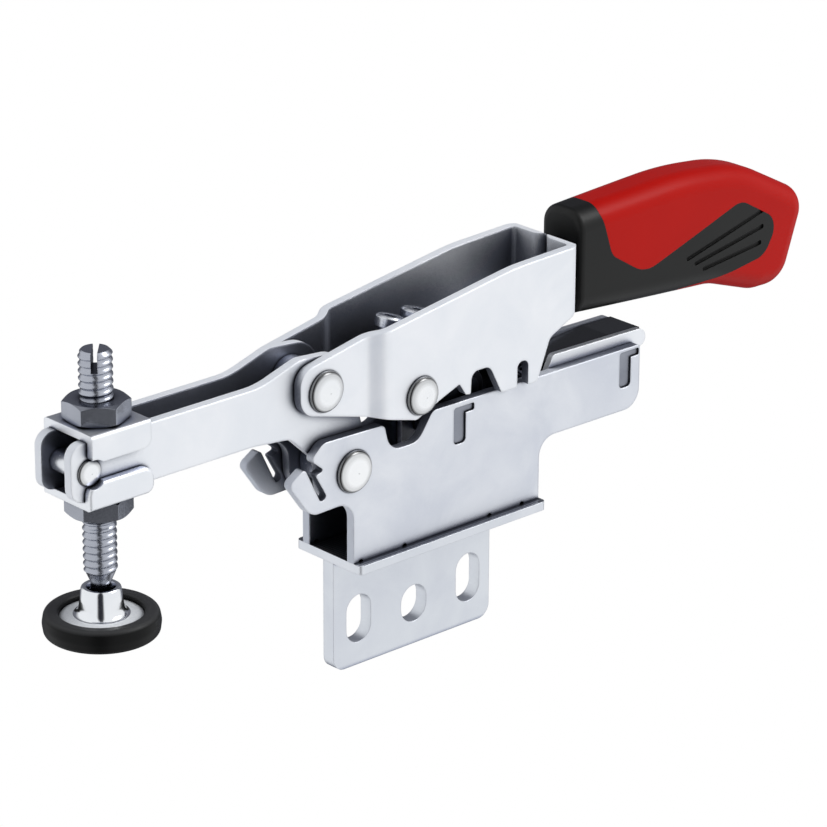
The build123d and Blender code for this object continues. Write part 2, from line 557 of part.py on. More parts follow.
# ======== write every node ========
nodes = {
    "mounting_plate": mounting_plate(),
    "base_flange": flange(),
    "wall_left": wall(LEFT),
    "wall_right": wall(RIGHT),
    "front_cross_plate": cross_plate(HOOK_SLOTS[0], saddle_z=slider_low - SHEET_GAP),
    "rear_cross_plate": cross_plate(HOOK_SLOTS[1], bore=TAIL_D + 2 * PIN_PLAY),
    "rear_guide": rear_guide(),
    "rear_buffer": rear_cover(),
    "base_rivet": rivet(BASE_PIVOT, RIVET_D, BASE_HEAD_D, RIVET_HEAD_H, RIVET_RIM_H, wall_out),
    "base_bush": tube(BASE_PIVOT, BUSH_D, RIVET_D + 2 * PIN_PLAY, SEAT_GAP - arm_in, arm_in - SEAT_GAP),
    "arm_left": arm_plate(LEFT),
    "arm_right": arm_plate(RIGHT),
    "nose_rivet": rivet(NOSE_RIVET, NOSE_RIVET_D, NOSE_HEAD_D, NOSE_HEAD_H, NOSE_RIM_H, arm_out),
    "nose_spacer": tube(NOSE_RIVET, NOSE_SPACER_D, NOSE_RIVET_D + 2 * PIN_PLAY, PIN_PLAY - arm_in, arm_in - PIN_PLAY),
    "upper_washer": flanged_washer(UPPER_WASHER_LENGTH, ARM_TOP + PIN_PLAY, upwards=False),
    "lower_washer": flanged_washer(LOWER_WASHER_LENGTH, ARM_BOTTOM - PIN_PLAY, upwards=True),
    "upper_nut": nut(ARM_TOP + WASHER_SHEET + 2 * PIN_PLAY),
    "lower_nut": nut(ARM_BOTTOM - WASHER_SHEET - NUT_H - 2 * PIN_PLAY),
    "spindle": spindle(),
    "pad_cup": pad_cup(),
    "pad_ring": pad_ring(),
    "handle_left": handle_plate(LEFT),
    "handle_right": handle_plate(RIGHT),
    "arm_pivot_rivet": rivet(ARM_PIVOT, RIVET_D, ARM_HEAD_D, RIVET_HEAD_H, RIVET_RIM_H, grip_front_out),
    "arm_pivot_bush": tube(ARM_PIVOT, BUSH_D, RIVET_D + 2 * PIN_PLAY, SEAT_GAP - arm_in, arm_in - SEAT_GAP),
    "link_rivet": rivet(LINK_PIVOT, RIVET_D, LINK_HEAD_D, RIVET_HEAD_H, RIVET_RIM_H, handle_out),
    "link_left": link_plate(LEFT),
    "link_right": link_plate(RIGHT),
    "link_block": link_block(),
    "adjusting_screw": socket_screw(ADJUSTER_ALONG, ADJUSTER_TOP, ADJUSTER_HEAD, ADJUSTER_D),
    "lock_screw": socket_screw(LOCK_SCREW_ALONG, LOCK_SCREW_TOP, LOCK_SCREW_HEAD, LOCK_SCREW_HEAD[0] - 2.2),
    "slide_pin": rod(SLIDE_PIVOT, SLIDE_PIN_D, -link_out - 0.5, link_out + 0.5),
    "slider": slider(),
    "slider_spring": slider_spring(),
}

spacer_bore = RIVET_D + 2 * PIN_PLAY
nodes["link_spacers"] = Compound(children=[
    tube(LINK_PIVOT, BUSH_D, spacer_bore, link_out + SEAT_GAP, handle_in - PIN_PLAY),
    tube(LINK_PIVOT, BUSH_D, spacer_bore, PIN_PLAY - handle_in, -link_out - SEAT_GAP),
    tube(LINK_PIVOT, BUSH_D - 1.0, spacer_bore, SEAT_GAP - link_in, link_in - SEAT_GAP),
])

blank = grip_body()
inner = grip_body(SOFT_SKIN)
tang_z = (TANG_Z[0] + TANG_Z[1]) / 2
tang_hole = Pos((GRIP_FRONT + TANG_END) / 2 - 2, 0, tang_z) * Box(
    TANG_END - GRIP_FRONT + 4 + 2 * PIN_PLAY, 2 * (HANDLE_SHEET + 2 * PIN_PLAY), TANG_Z[1] - TANG_Z[0] + 2 * PIN_PLAY)
soft = (blank & across(soft_area(), -20, 20)) - inner
for index in range(GRIP_GROOVES):
    for side in (LEFT, RIGHT):
        depth = GRIP_HALF_WIDTH - 0.7
        soft -= on_side(side, grip_groove(index), depth, depth + 3)
nodes["grip_core"] = blank - (blank & across(soft_area(), -20, 20)) + (inner - tang_hole) - tang_hole
nodes["grip_soft"] = soft - tang_hole

for node, shape in nodes.items():
    save(node, shape)
    box = shape.bounding_box()
    print(f"{node:20s} solids {len(shape.solids())} volume {sum(s.volume for s in shape.solids()):9.1f}")
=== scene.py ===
import math

import bmesh
import bpy
from mathutils import Matrix, Vector


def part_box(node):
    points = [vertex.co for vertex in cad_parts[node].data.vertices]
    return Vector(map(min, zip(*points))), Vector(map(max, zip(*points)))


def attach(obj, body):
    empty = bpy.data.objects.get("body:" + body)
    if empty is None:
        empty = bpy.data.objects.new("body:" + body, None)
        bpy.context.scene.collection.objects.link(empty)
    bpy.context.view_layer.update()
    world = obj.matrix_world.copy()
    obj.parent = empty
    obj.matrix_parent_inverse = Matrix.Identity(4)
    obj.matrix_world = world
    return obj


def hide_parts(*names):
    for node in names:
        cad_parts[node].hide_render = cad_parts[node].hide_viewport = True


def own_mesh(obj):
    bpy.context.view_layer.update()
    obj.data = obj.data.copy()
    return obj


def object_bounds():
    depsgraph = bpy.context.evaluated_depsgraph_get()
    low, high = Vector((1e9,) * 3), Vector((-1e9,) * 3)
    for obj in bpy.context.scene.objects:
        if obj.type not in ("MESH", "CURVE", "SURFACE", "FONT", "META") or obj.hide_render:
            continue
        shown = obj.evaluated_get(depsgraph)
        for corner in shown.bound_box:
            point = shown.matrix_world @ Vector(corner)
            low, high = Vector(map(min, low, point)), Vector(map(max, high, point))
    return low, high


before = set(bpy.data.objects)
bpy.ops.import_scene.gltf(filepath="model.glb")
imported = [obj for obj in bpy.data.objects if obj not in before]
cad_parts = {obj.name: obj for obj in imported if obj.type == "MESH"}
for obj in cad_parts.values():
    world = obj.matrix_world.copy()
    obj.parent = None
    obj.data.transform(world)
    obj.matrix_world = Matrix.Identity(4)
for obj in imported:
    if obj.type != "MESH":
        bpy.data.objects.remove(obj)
cad_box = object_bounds()
MM = 0.001

# ---- Studio: light table, light tent, key box and camera ----
# A white table that only the camera sees lit, in a tent that is bright at the sides, with a dark slit for the
# lens and a dark wall behind, so plated flanks shine pale and what faces the slit or the wall goes grey.
TABLE_SIZE = 6
TABLE_DROP = 0.3 * MM
TABLE_COLOUR = "#FFFFFF"
BACK_COLOUR, BOX_COLOUR, LENS_COLOUR = "#6C6E76", "#F2F4F6", "#2A2B31"


def linear(hex_colour):
    """sRGB hex to linear RGBA."""
    channels = [int(hex_colour[i:i + 2], 16) / 255 for i in (1, 3, 5)]
    return [c / 12.92 if c <= 0.04045 else ((c + 0.055) / 1.055) ** 2.4 for c in channels] + [1.0]


def add(tree, kind, inputs=None, **settings):
    """Add a shader node, set its attributes, and set or link its inputs."""
    made = tree.nodes.new(kind)
    for key, value in settings.items():
        setattr(made, key, value)
    for key, value in (inputs or {}).items():
        if isinstance(value, bpy.types.NodeSocket):
            tree.links.new(value, made.inputs[key])
        else:
            made.inputs[key].default_value = value
    return made


def new_material(name):
    """Empty node material and its tree."""
    material = bpy.data.materials.new(name)
    material.use_nodes = True
    material.node_tree.nodes.clear()
    return material, material.node_tree


def ramp(tree, fac, stops):
    """Colour ramp through (position, value or colour) stops."""
    made = add(tree, "ShaderNodeValToRGB", {"Fac": fac})
    elements = made.color_ramp.elements
    while len(elements) < len(stops):
        elements.new(0.5)
    for element, (position, value) in zip(elements, stops):
        element.position = position
        element.color = value if isinstance(value, list) else [value, value, value, 1.0]
    return made.outputs["Color"]


table_z = cad_box[0][2] - TABLE_DROP
bpy.ops.mesh.primitive_plane_add(size=TABLE_SIZE, location=(0, 0, table_z))
table = bpy.context.object
table.name = "table_top"
opal, tree = new_material("opal_acrylic_light_table")
seen = add(tree, "ShaderNodeLightPath").outputs["Is Camera Ray"]
glow = add(tree, "ShaderNodeEmission", {"Color": linear(TABLE_COLOUR), "Strength": 1.0})
clear = add(tree, "ShaderNodeBsdfTransparent")
shown = add(tree, "ShaderNodeMixShader", {0: seen, 1: clear.outputs[0], 2: glow.outputs[0]})
add(tree, "ShaderNodeOutputMaterial", {"Surface": shown.outputs[0]})
table.data.materials.append(opal)

# Level bearing of the lens. The tent is lit all round it, but for a slit for the lens and the wall behind.
LENS_BEARING = (-0.676, -0.737, 0.0)
# Where wall, box and slit begin, from 0 straight behind the clamp to 1 at the lens.
WALL_ENDS, BOX_BEGINS, BOX_ENDS, SLIT_BEGINS = 0.10, 0.24, 0.974, 0.99
world = bpy.data.worlds.new("light_tent")
bpy.context.scene.world = world
world.use_nodes = True
tree = world.node_tree
tree.nodes.clear()
direction = add(tree, "ShaderNodeTexCoord").outputs["Generated"]
level = add(tree, "ShaderNodeVectorMath", {0: direction, 1: (1.0, 1.0, 0.0)}, operation="MULTIPLY").outputs[0]
bearing = add(tree, "ShaderNodeVectorMath", {0: level}, operation="NORMALIZE").outputs[0]
facing = add(tree, "ShaderNodeVectorMath", {0: bearing, 1: LENS_BEARING},
             operation="DOT_PRODUCT").outputs["Value"]
spread = add(tree, "ShaderNodeMapRange", {"Value": facing, "From Min": -1.0, "From Max": 1.0}).outputs[0]
back, box, lens = linear(BACK_COLOUR), linear(BOX_COLOUR), linear(LENS_COLOUR)
boxes = ramp(tree, spread, [(WALL_ENDS, back), (BOX_BEGINS, box), (BOX_ENDS, box), (SLIT_BEGINS, lens)])
tent = add(tree, "ShaderNodeBackground", {"Color": boxes, "Strength": 1.0})
white = add(tree, "ShaderNodeBackground", {"Color": linear(TABLE_COLOUR), "Strength": 1.0})
seen = add(tree, "ShaderNodeLightPath").outputs["Is Camera Ray"]
around = add(tree, "ShaderNodeMixShader", {0: seen, 1: tent.outputs[0], 2: white.outputs[0]})
add(tree, "ShaderNodeOutputWorld", {"Surface": around.outputs[0]})


KEY_PLACE, KEY_AIM = Vector((0.60, -0.62, 0.85)), Vector((0.02, 0, 0.05))
KEY_SIZE, KEY_WATTS = 0.55, 5.0
key_light = bpy.data.lights.new("key_box", "AREA")
key_light.energy, key_light.size = KEY_WATTS, KEY_SIZE
key_box = bpy.data.objects.new("key_box", key_light)
bpy.context.collection.objects.link(key_box)
key_box.location = KEY_PLACE
key_box.rotation_euler = (KEY_AIM - KEY_PLACE).to_track_quat("-Z", "Y").to_euler()
bpy.context.scene.view_settings.view_transform = "Standard"

# The camera: azimuth and elevation of the view, its slight roll, distance and focal length.
VIEW_AZIMUTH, VIEW_ELEVATION, VIEW_ROLL = 42.539, 21.518, -0.2606
CAMERA_DISTANCE = 0.99936
FOCAL_MM, SENSOR_MM = 178.81, 36.0
AIM = Vector((1.362, 0.0, 49.406)) * MM
azimuth, elevation = math.radians(VIEW_AZIMUTH), math.radians(VIEW_ELEVATION)
looking = Vector((math.sin(azimuth) * math.cos(elevation), math.cos(azimuth) * math.cos(elevation),
                  -math.sin(elevation)))
camera_data = bpy.data.cameras.new("camera")
camera_data.lens, camera_data.sensor_width = FOCAL_MM, SENSOR_MM
camera = bpy.data.objects.new("camera", camera_data)
bpy.context.collection.objects.link(camera)
across = Vector((math.cos(azimuth), -math.sin(azimuth), 0))
rolled = Matrix.Rotation(math.radians(VIEW_ROLL), 3, looking)
right, up = rolled @ across, rolled @ across.cross(looking)
camera.matrix_world = Matrix((right, up, -looking)).transposed().to_4x4()
camera.location = AIM - looking * CAMERA_DISTANCE
bpy.context.scene.camera = camera


# ---- Side walls: stamped sheet, bright zinc plated ----
# The two flanks of the base are blanked from cold-rolled steel sheet and electroplated with thin bright zinc.
# Their tabs are staked through the flange, and rivets and cross plates hold them apart.
def paint(nodes, material):
    """Give CAD nodes a material in all their slots."""
    for name in nodes:
        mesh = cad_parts[name].data
        mesh.materials.clear()
        mesh.materials.append(material)


# Spacing of the mill's lines, and how many of a wave texture's units make one line.
ROLL_LINE_MM, WAVE_UNITS = 0.9, 3.2
# |Y| of the normal from which sheet counts as bent or cut, and from which it counts as flat.
BENT_BELOW, FLAT_ABOVE = 0.86, 0.97


def zinc(name, pale, deep, roughness, cloud_mm=16.0, grain_mm=0.45, edge_mm=0.3, grain=0.02, painted_corner_shade_mm=18.0,
         corner=0.05, painted_seam_mm=1.1, painted_seam_depth=0.12, painted_rim_ring=False, painted_top_shade=1.0, sheared=0.0):
    """Zinc plating: clouds of two near tones, a fine grain and rounded edges, with painted shade: ambient
    occlusion darkens corners and seams in the base colour.

    The options: the rim ring paints shade as a dark ring on a turned head's shoulder, the top shade below 1
    paints shade with the mill's lines on the upward faces of rolled sheet, and sheared is the roughness of cut
    edges and bends, for sheet that stands across Y.
    """
    material, tree = new_material(name)
    place = add(tree, "ShaderNodeTexCoord").outputs["Object"]
    cloud = add(tree, "ShaderNodeTexNoise", {"Vector": place, "Scale": 1 / (cloud_mm * MM), "Detail": 4.0,
                                             "Roughness": 0.55, "Distortion": 0.6}).outputs[0]
    fine = add(tree, "ShaderNodeTexNoise", {"Vector": place, "Scale": 1 / (grain_mm * MM),
                                            "Detail": 3.0}).outputs[0]
    colour = ramp(tree, cloud, [(0.35, linear(deep)), (0.65, linear(pale))])
    # Painted shade: ambient occlusion darkens the base colour in corners and, over a short reach, along seams.
    open_air = add(tree, "ShaderNodeAmbientOcclusion", {"Distance": painted_corner_shade_mm * MM}, samples=16).outputs["AO"]
    near_air = add(tree, "ShaderNodeAmbientOcclusion", {"Distance": painted_seam_mm * MM}, samples=8).outputs["AO"]
    half = 0.2 + 0.8 * corner
    painted_corner_shade = ramp(tree, open_air, [(0.15, [corner * 0.92, corner * 0.95, corner * 1.1, 1.0]),
                                 (0.58, [half * 0.9, half * 0.94, half * 1.1, 1.0]), (0.78, 1.0)])
    painted_seam_shade = ramp(tree, near_air, [(0.25, painted_seam_depth), (0.8, 1.0)])
    shade = add(tree, "ShaderNodeMix", {"Factor": 1.0, "A": painted_corner_shade, "B": painted_seam_shade}, data_type="RGBA",
                blend_type="MULTIPLY")
    shaded = add(tree, "ShaderNodeMix", {"Factor": 1.0, "A": colour, "B": shade.outputs["Result"]},
                 data_type="RGBA", blend_type="MULTIPLY")
    # Painted shade: a dark ring on a turned head's shoulder and a white flat face, set by which way the face
    # points.
    if painted_rim_ring:
        normal = add(tree, "ShaderNodeTexCoord").outputs["Normal"]
        facing = add(tree, "ShaderNodeSeparateXYZ", {"Vector": normal})
        flat = add(tree, "ShaderNodeMath", {0: facing.outputs["Y"]}, operation="ABSOLUTE").outputs[0]
        ring = ramp(tree, flat, [(0.35, 0.32), (0.72, 0.06), (0.93, 0.5), (0.975, 1.0)])
        shaded = add(tree, "ShaderNodeMix", {"Factor": 1.0, "A": shaded.outputs["Result"], "B": ring},
                     data_type="RGBA", blend_type="MULTIPLY")
    # Painted shade on upward faces, with the mill's lines in it.
    if painted_top_shade < 1.0:
        normal = add(tree, "ShaderNodeTexCoord").outputs["Normal"]
        facing = add(tree, "ShaderNodeSeparateXYZ", {"Vector": normal})
        lines = add(tree, "ShaderNodeTexWave", {"Vector": place, "Scale": 1 / (WAVE_UNITS * ROLL_LINE_MM * MM),
                                                "Distortion": 1.5, "Detail Scale": 0.4},
                    bands_direction="Y").outputs[0]
        mill_lines_in_painted_shade = ramp(tree, lines, [(0.2, painted_top_shade * 0.6), (0.8, painted_top_shade * 1.5)])
        upward = ramp(tree, facing.outputs["Z"], [(0.55, 0.0), (0.9, 1.0)])
        darker = add(tree, "ShaderNodeMix", {"Factor": upward, "A": [1.0] * 4, "B": mill_lines_in_painted_shade},
                     data_type="RGBA").outputs["Result"]
        shaded = add(tree, "ShaderNodeMix", {"Factor": 1.0, "A": shaded.outputs["Result"], "B": darker},
                     data_type="RGBA", blend_type="MULTIPLY")
    rough = ramp(tree, fine, [(0.3, roughness * 0.9), (0.7, roughness * 1.1)])
    if sheared:
        normal = add(tree, "ShaderNodeTexCoord").outputs["Normal"]
        facing = add(tree, "ShaderNodeSeparateXYZ", {"Vector": normal})
        flat = add(tree, "ShaderNodeMath", {0: facing.outputs["Y"]}, operation="ABSOLUTE").outputs[0]
        rough = add(tree, "ShaderNodeMapRange", {"Value": flat, "From Min": BENT_BELOW, "From Max": FLAT_ABOVE,
                                                 "To Min": sheared, "To Max": rough}).outputs[0]
    edge = add(tree, "ShaderNodeBevel", {"Radius": edge_mm * MM}, samples=4)
    bump = add(tree, "ShaderNodeBump", {"Height": fine, "Strength": grain, "Distance": 0.05 * MM,
                                        "Normal": edge.outputs[0]})
    surface = add(tree, "ShaderNodeBsdfPrincipled", {"Base Color": shaded.outputs["Result"], "Metallic": 1.0,
                                                     "Roughness": rough, "Normal": bump.outputs[0]})
    add(tree, "ShaderNodeOutputMaterial", {"Surface": surface.outputs[0]})
    return material


# Stamped sheet in bright zinc: pale and bluish, with broad faint clouds and duller sheared edges.
wall_zinc = zinc("bright_zinc_plated_wall_sheet", "#E9EBF0", "#DADDE5", 0.48, cloud_mm=22.0, edge_mm=0.8,
                 grain=0.006, sheared=0.9)
paint(["wall_left", "wall_right"], wall_zinc)

# ---- Arm and handle plates: stamped and joggled sheet, bright zinc plated ----
# Two arm plates carry the spindle, and two handle plates are bent outwards to pass over the base's walls.
# They are cut from the same cold-rolled sheet, bent in the press, and plated before they are riveted.
# Bright zinc on open flanks: nearly white outside, and dark between the plates, where little light comes in,
# with that shade painted into the colour.
bright_zinc = zinc("bright_zinc_plated_steel_sheet", "#F6F7FA", "#F0F2F6", 0.5, edge_mm=0.8, grain=0.006,
                   painted_corner_shade_mm=24.0, corner=0.09, sheared=0.9)
paint(["arm_left", "arm_right", "handle_left", "handle_right"], bright_zinc)

# ---- Flanged washers and rear guide: bent sheet, bright zinc plated ----
# The washers are folded over the arm's edges, where the nuts clamp them. The guide is a folded strip between
# the walls' rear ends, which the slider runs in and the buffer lies on.
# Bent sheet in bright zinc: as pale as the flanks, with lighter painted shade in its shallow folds than theirs.
bent_zinc = zinc("bright_zinc_plated_bent_sheet", "#F6F7FA", "#F0F2F6", 0.45, edge_mm=0.4, grain=0.006,
                 painted_corner_shade_mm=8.0, corner=0.5, painted_seam_mm=0.8)
paint(["upper_washer", "lower_washer", "rear_guide"], bent_zinc)

# ---- Flange: rolled steel plate, zinc plated ----
# A flat plate that the walls' tabs are staked into, cut from rolled steel and plated with the base.
# Zinc over rolled plate: its upper face keeps the mill's fine lines, and painted shade makes it greyer than
# its edges.
flange_zinc = zinc("zinc_plated_rolled_steel_flange", "#E6E8ED", "#DDE0E6", 0.42, grain=0.012, edge_mm=0.3,
                   painted_top_shade=0.5)
paint(["base_flange"], flange_zinc)

# ---- Mounting plate: rolled steel plate with three slots, zinc plated ----
# An upright plate, welded edge-on under the flange, with three slots for the screws that hold the clamp.
# Zinc over rolled plate: an even pale grey, with painted shade only close in to the weld.
plate_zinc = zinc("zinc_plated_rolled_steel_plate", "#E2E5EA", "#D9DCE3", 0.42, grain=0.012, edge_mm=0.4,
                  painted_corner_shade_mm=2.5, corner=0.5)
paint(["mounting_plate"], plate_zinc)

# ---- Cross plates, link and slider: inner steel parts, dull zinc plated ----
# Cross plates tie the walls, and the link, its block and the slider pass the handle's force to the base.
# They are stamped or machined steel, barrel-plated in bulk.
# Dull zinc: mid grey and matt, so the works stay quiet between the bright flanks.
inner_zinc = zinc("dull_zinc_plated_steel", "#9EA1AA", "#8A8D97", 0.45)
paint(["front_cross_plate", "rear_cross_plate", "link_left", "link_right", "link_block", "slider", "slide_pin"],
      inner_zinc)

# ---- Spring: wound wire ----
# A compression spring of zinc-plated wire sits between the slider and the guide, and shortens with its travel.
spring = bpy.data.objects.new("wound_wire_spring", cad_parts["slider_spring"].data.copy())
bpy.context.collection.objects.link(spring)
spring.data.materials.clear()
spring.data.materials.append(inner_zinc)
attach(spring, "base")
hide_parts("slider_spring")
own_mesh(spring)

# ---- Bushes, spacers and screws: turned steel, zinc plated ----
# Bushes and spacers keep the riveted plates apart, and two socket screws set and lock the link.
# Turned and plated steel: glossier than the sheet, so the screw heads sparkle in the dark throat.
turned_zinc = zinc("turned_zinc_plated_steel", "#F2F3F6", "#E8EAEE", 0.25, grain=0.01, corner=0.45)
paint(["base_bush", "nose_spacer", "arm_pivot_bush", "link_spacers", "adjusting_screw", "lock_screw"],
      turned_zinc)

# ---- Rivets: headed steel pins ----
# Solid rivets join the plates and are the pivots. Their heads are formed cold and left with a rounded shoulder.
# Burnished steel: a white flat face inside a thin dark ring of painted shade, where the shoulder turns away
# from the light.
burnished = zinc("burnished_rivet_steel", "#FFFFFF", "#F8F9FB", 0.22, grain=0.004, edge_mm=0.1, painted_rim_ring=True,
                 painted_seam_mm=2.0, painted_seam_depth=0.05)
paint(["base_rivet", "nose_rivet", "arm_pivot_rivet", "link_rivet"], burnished)

# ---- Nuts: hexagon nuts, dark zinc plated ----
# Two cold-formed hexagon nuts clamp the washers on the arm. Each has its corners turned off to a cone on both
# faces, and its plating is darker and glossier than the sheet's.
NUT_ACROSS, NUT_CORNER_CUT, NUT_FACE_SHARE = 13.8 * MM, 28.0, 0.97
NUT_TURN, NUT_BORE_R, NUT_SHARP = 8.0, 3.6 * MM, 25


def turned_mesh(name, rows, sides, centre):
    """Closed skin through rows of (height, radius at an angle in turns)."""
    bm = bmesh.new()
    rings = []
    for z, radius in rows:
        ring = []
        for k in range(sides):
            turn = k / sides
            r, angle = radius(turn) if callable(radius) else radius, 2 * math.pi * turn
            ring.append(bm.verts.new((centre[0] + r * math.cos(angle), centre[1] + r * math.sin(angle), z)))
        rings.append(ring)
    for low, high in zip(rings, rings[1:]):
        for k in range(sides):
            j = (k + 1) % sides
            bm.faces.new((low[k], low[j], high[j], high[k]))
    bm.faces.new(list(reversed(rings[0])))
    bm.faces.new(rings[-1])
    mesh = bpy.data.meshes.new(name)
    bm.normal_update()
    bm.to_mesh(mesh)
    bm.free()
    made = bpy.data.objects.new(name, mesh)
    bpy.context.collection.objects.link(made)
    return made


def cut_with(piece, other, operation):
    """Boolean with another object, which is then removed."""
    bpy.context.view_layer.update()
    cut = piece.modifiers.new("cut", "BOOLEAN")
    cut.operation, cut.solver, cut.object = operation, "EXACT", other
    graph = bpy.context.evaluated_depsgraph_get()
    piece.data = bpy.data.meshes.new_from_object(piece.evaluated_get(graph))
    piece.modifiers.clear()
    bpy.data.objects.remove(other)


def smooth(piece, sharp_degrees):
    """Smooth shading but for edges sharper than an angle."""
    for face in piece.data.polygons:
        face.use_smooth = True
    piece.data.set_sharp_from_angle(angle=math.radians(sharp_degrees))


spindle_low, spindle_high = (Vector(c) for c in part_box("spindle"))
axis_x = (spindle_low.x + spindle_high.x) / 2
# Dark zinc on cold-formed steel: glossy flats, each a single tone of what it faces.
nut_zinc = zinc("nut_zinc_plated_steel", "#A9ACB5", "#9A9DA6", 0.2, edge_mm=0.12)
for node in ("upper_nut", "lower_nut"):
    low, high = (Vector(c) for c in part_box(node))
    corner = NUT_ACROSS / math.sqrt(3)
    face_r = NUT_ACROSS / 2 * NUT_FACE_SHARE
    drop = (corner - face_r) * math.tan(math.radians(NUT_CORNER_CUT))
    nut = turned_mesh("hexagon_" + node, [(low.z, face_r), (low.z + drop, corner), (high.z - drop, corner),
                                          (high.z, face_r)], 96, (axis_x, 0.0))
    prism = turned_mesh("prism", [(low.z - MM, corner), (high.z + MM, corner)], 6, (0.0, 0.0))
    prism.rotation_euler = (0, 0, math.radians(NUT_TURN) - azimuth)
    prism.location = (axis_x, 0, 0)
    cut_with(nut, prism, "INTERSECT")
    bore = turned_mesh("bore", [(low.z - MM, NUT_BORE_R), (high.z + MM, NUT_BORE_R)], 48, (axis_x, 0.0))
    cut_with(nut, bore, "DIFFERENCE")
    smooth(nut, NUT_SHARP)
    nut.data.materials.clear()
    nut.data.materials.append(nut_zinc)
    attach(nut, node)
    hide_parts(node)

# ---- Spindle: zinc-plated screw with a rolled thread ----
# A rod with a coarse thread rolled on it, a chamfered end with a driver slot, and a turned neck and ball that
# snap into the pad. The thread is drawn at 1.75 mm, coarser than the 1.25 mm of an M8 coarse thread.
SPINDLE_R = 4.0 * MM
THREAD_PITCH = 1.75 * MM
THREAD_DEPTH = 0.42 * MM
CREST_SHARE, FLANK_SHARE = 0.12, 0.62
THREAD_ROWS, THREAD_SIDES = 10, 72
NECK_R, BALL_R = 2.2 * MM, 3.5 * MM
END_CHAMFER = 0.8 * MM
SLOT_WIDTH, SLOT_DEPTH, SLOT_TURN = 1.5 * MM, 4.7 * MM, 47
SHOULDER_HEIGHT, NECK_CONE = 11.3 * MM, 3.2 * MM
shoulder_z = spindle_low.z + SHOULDER_HEIGHT
neck_z = shoulder_z - NECK_CONE


def thread_radius(z, turn):
    """Radius of the thread at a height and an angle in turns."""
    phase = (z / THREAD_PITCH - turn) % 1.0
    flank = min(max((abs(phase - 0.5) * 2 - CREST_SHARE) / FLANK_SHARE, 0.0), 1.0)
    radius = SPINDLE_R - THREAD_DEPTH * flank
    return min(radius, SPINDLE_R - END_CHAMFER + spindle_high.z - z,
               SPINDLE_R - THREAD_DEPTH + (z - shoulder_z))


ball_z = spindle_low.z + BALL_R
rows = []
for step in range(1, 13):
    swing = math.radians(-90 + step * 10.8)
    if BALL_R * math.cos(swing) >= NECK_R or step < 9:
        rows.append((ball_z + BALL_R * math.sin(swing), lambda turn, r=BALL_R * math.cos(swing): r))
rows = [row for row in rows if row[0] < ball_z + math.sqrt(BALL_R ** 2 - NECK_R ** 2)]
rows.append((ball_z + math.sqrt(BALL_R ** 2 - NECK_R ** 2), lambda turn: NECK_R))
rows.append((neck_z, lambda turn: NECK_R))
thread_rows = round((spindle_high.z - shoulder_z) / THREAD_PITCH * THREAD_ROWS)
for step in range(thread_rows + 1):
    z = shoulder_z + (spindle_high.z - shoulder_z) * step / thread_rows
    rows.append((z, lambda turn, z=z: thread_radius(z, turn)))
spindle = turned_mesh("threaded_spindle", rows, THREAD_SIDES, (axis_x, 0.0))
bpy.ops.mesh.primitive_cube_add(size=1, location=(axis_x, 0, spindle_high.z))
cutter = bpy.context.object
cutter.dimensions = (3 * SPINDLE_R, SLOT_WIDTH, 2 * SLOT_DEPTH)
cutter.rotation_euler = (0, 0, math.radians(SLOT_TURN))
cut_with(spindle, cutter, "DIFFERENCE")
smooth(spindle, 38)
# Zinc on a rolled thread: pale crests and roots darkened nearly black by painted shade, which read as fine
# rings.
thread_zinc = zinc("thread_rolled_zinc_plated_steel", "#B9BCC5", "#ABAEB8", 0.26, edge_mm=0.04, painted_seam_mm=0.6,
                   painted_seam_depth=0.05, painted_corner_shade_mm=3.0)
spindle.data.materials.clear()
spindle.data.materials.append(thread_zinc)
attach(spindle, "spindle")
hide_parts("spindle")

# ---- Pad: turned cup ----
# The cup is turned and polished steel: a hub that flares into a shallow dish, with a countersunk mouth where
# the spindle's ball is snapped in. It mirrors the tent as upright pale and dark stripes.
CUP_PROFILE = ((0.0, 4.55), (1.6, 4.92), (2.8, 5.91), (3.35, 6.9), (3.56, 8.1), (3.35, 9.3), (2.9, 10.17),
               (2.9, 10.5), (3.5, 11.9), (4.35, 12.0), (4.6, 11.8), (4.75, 11.4), (5.05, 8.6), (5.25, 7.3),
               (5.5, 6.3), (6.0, 5.55), (6.7, 5.2), (8.2, 4.9), (9.85, 4.6), (9.85, 1.2), (0.0, 1.2))
CUP_SIDES = 96
DISH_FROM = 6.6 * MM
cup_low, cup_high = (Vector(c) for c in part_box("pad_cup"))
bm = bmesh.new()
outline = [bm.verts.new((r * MM, 0, cup_high.z + (z - 12.0) * MM)) for r, z in CUP_PROFILE]
edges = [bm.edges.new(pair) for pair in zip(outline, outline[1:])]
bmesh.ops.spin(bm, geom=outline + edges, cent=(0, 0, 0), axis=(0, 0, 1), angle=2 * math.pi, steps=CUP_SIDES)
bmesh.ops.remove_doubles(bm, verts=bm.verts, dist=1e-6)
bmesh.ops.recalc_face_normals(bm, faces=bm.faces)
mesh = bpy.data.meshes.new("turned_pad_cup")
bm.to_mesh(mesh)
bm.free()
mesh.transform(Matrix.Translation(((cup_low.x + cup_high.x) / 2, 0, 0)))
cup = bpy.data.objects.new("turned_pad_cup", mesh)
bpy.context.collection.objects.link(cup)
smooth(cup, 32)
# Polished steel: sharp upright stripes of the tent on the hub, which tell that it is turned.
polished = zinc("polished_turned_steel", "#F6F7F9", "#EEF0F3", 0.13, grain=0.004, edge_mm=0.1, painted_corner_shade_mm=3.0,
                corner=0.4)
mesh.materials.append(polished)
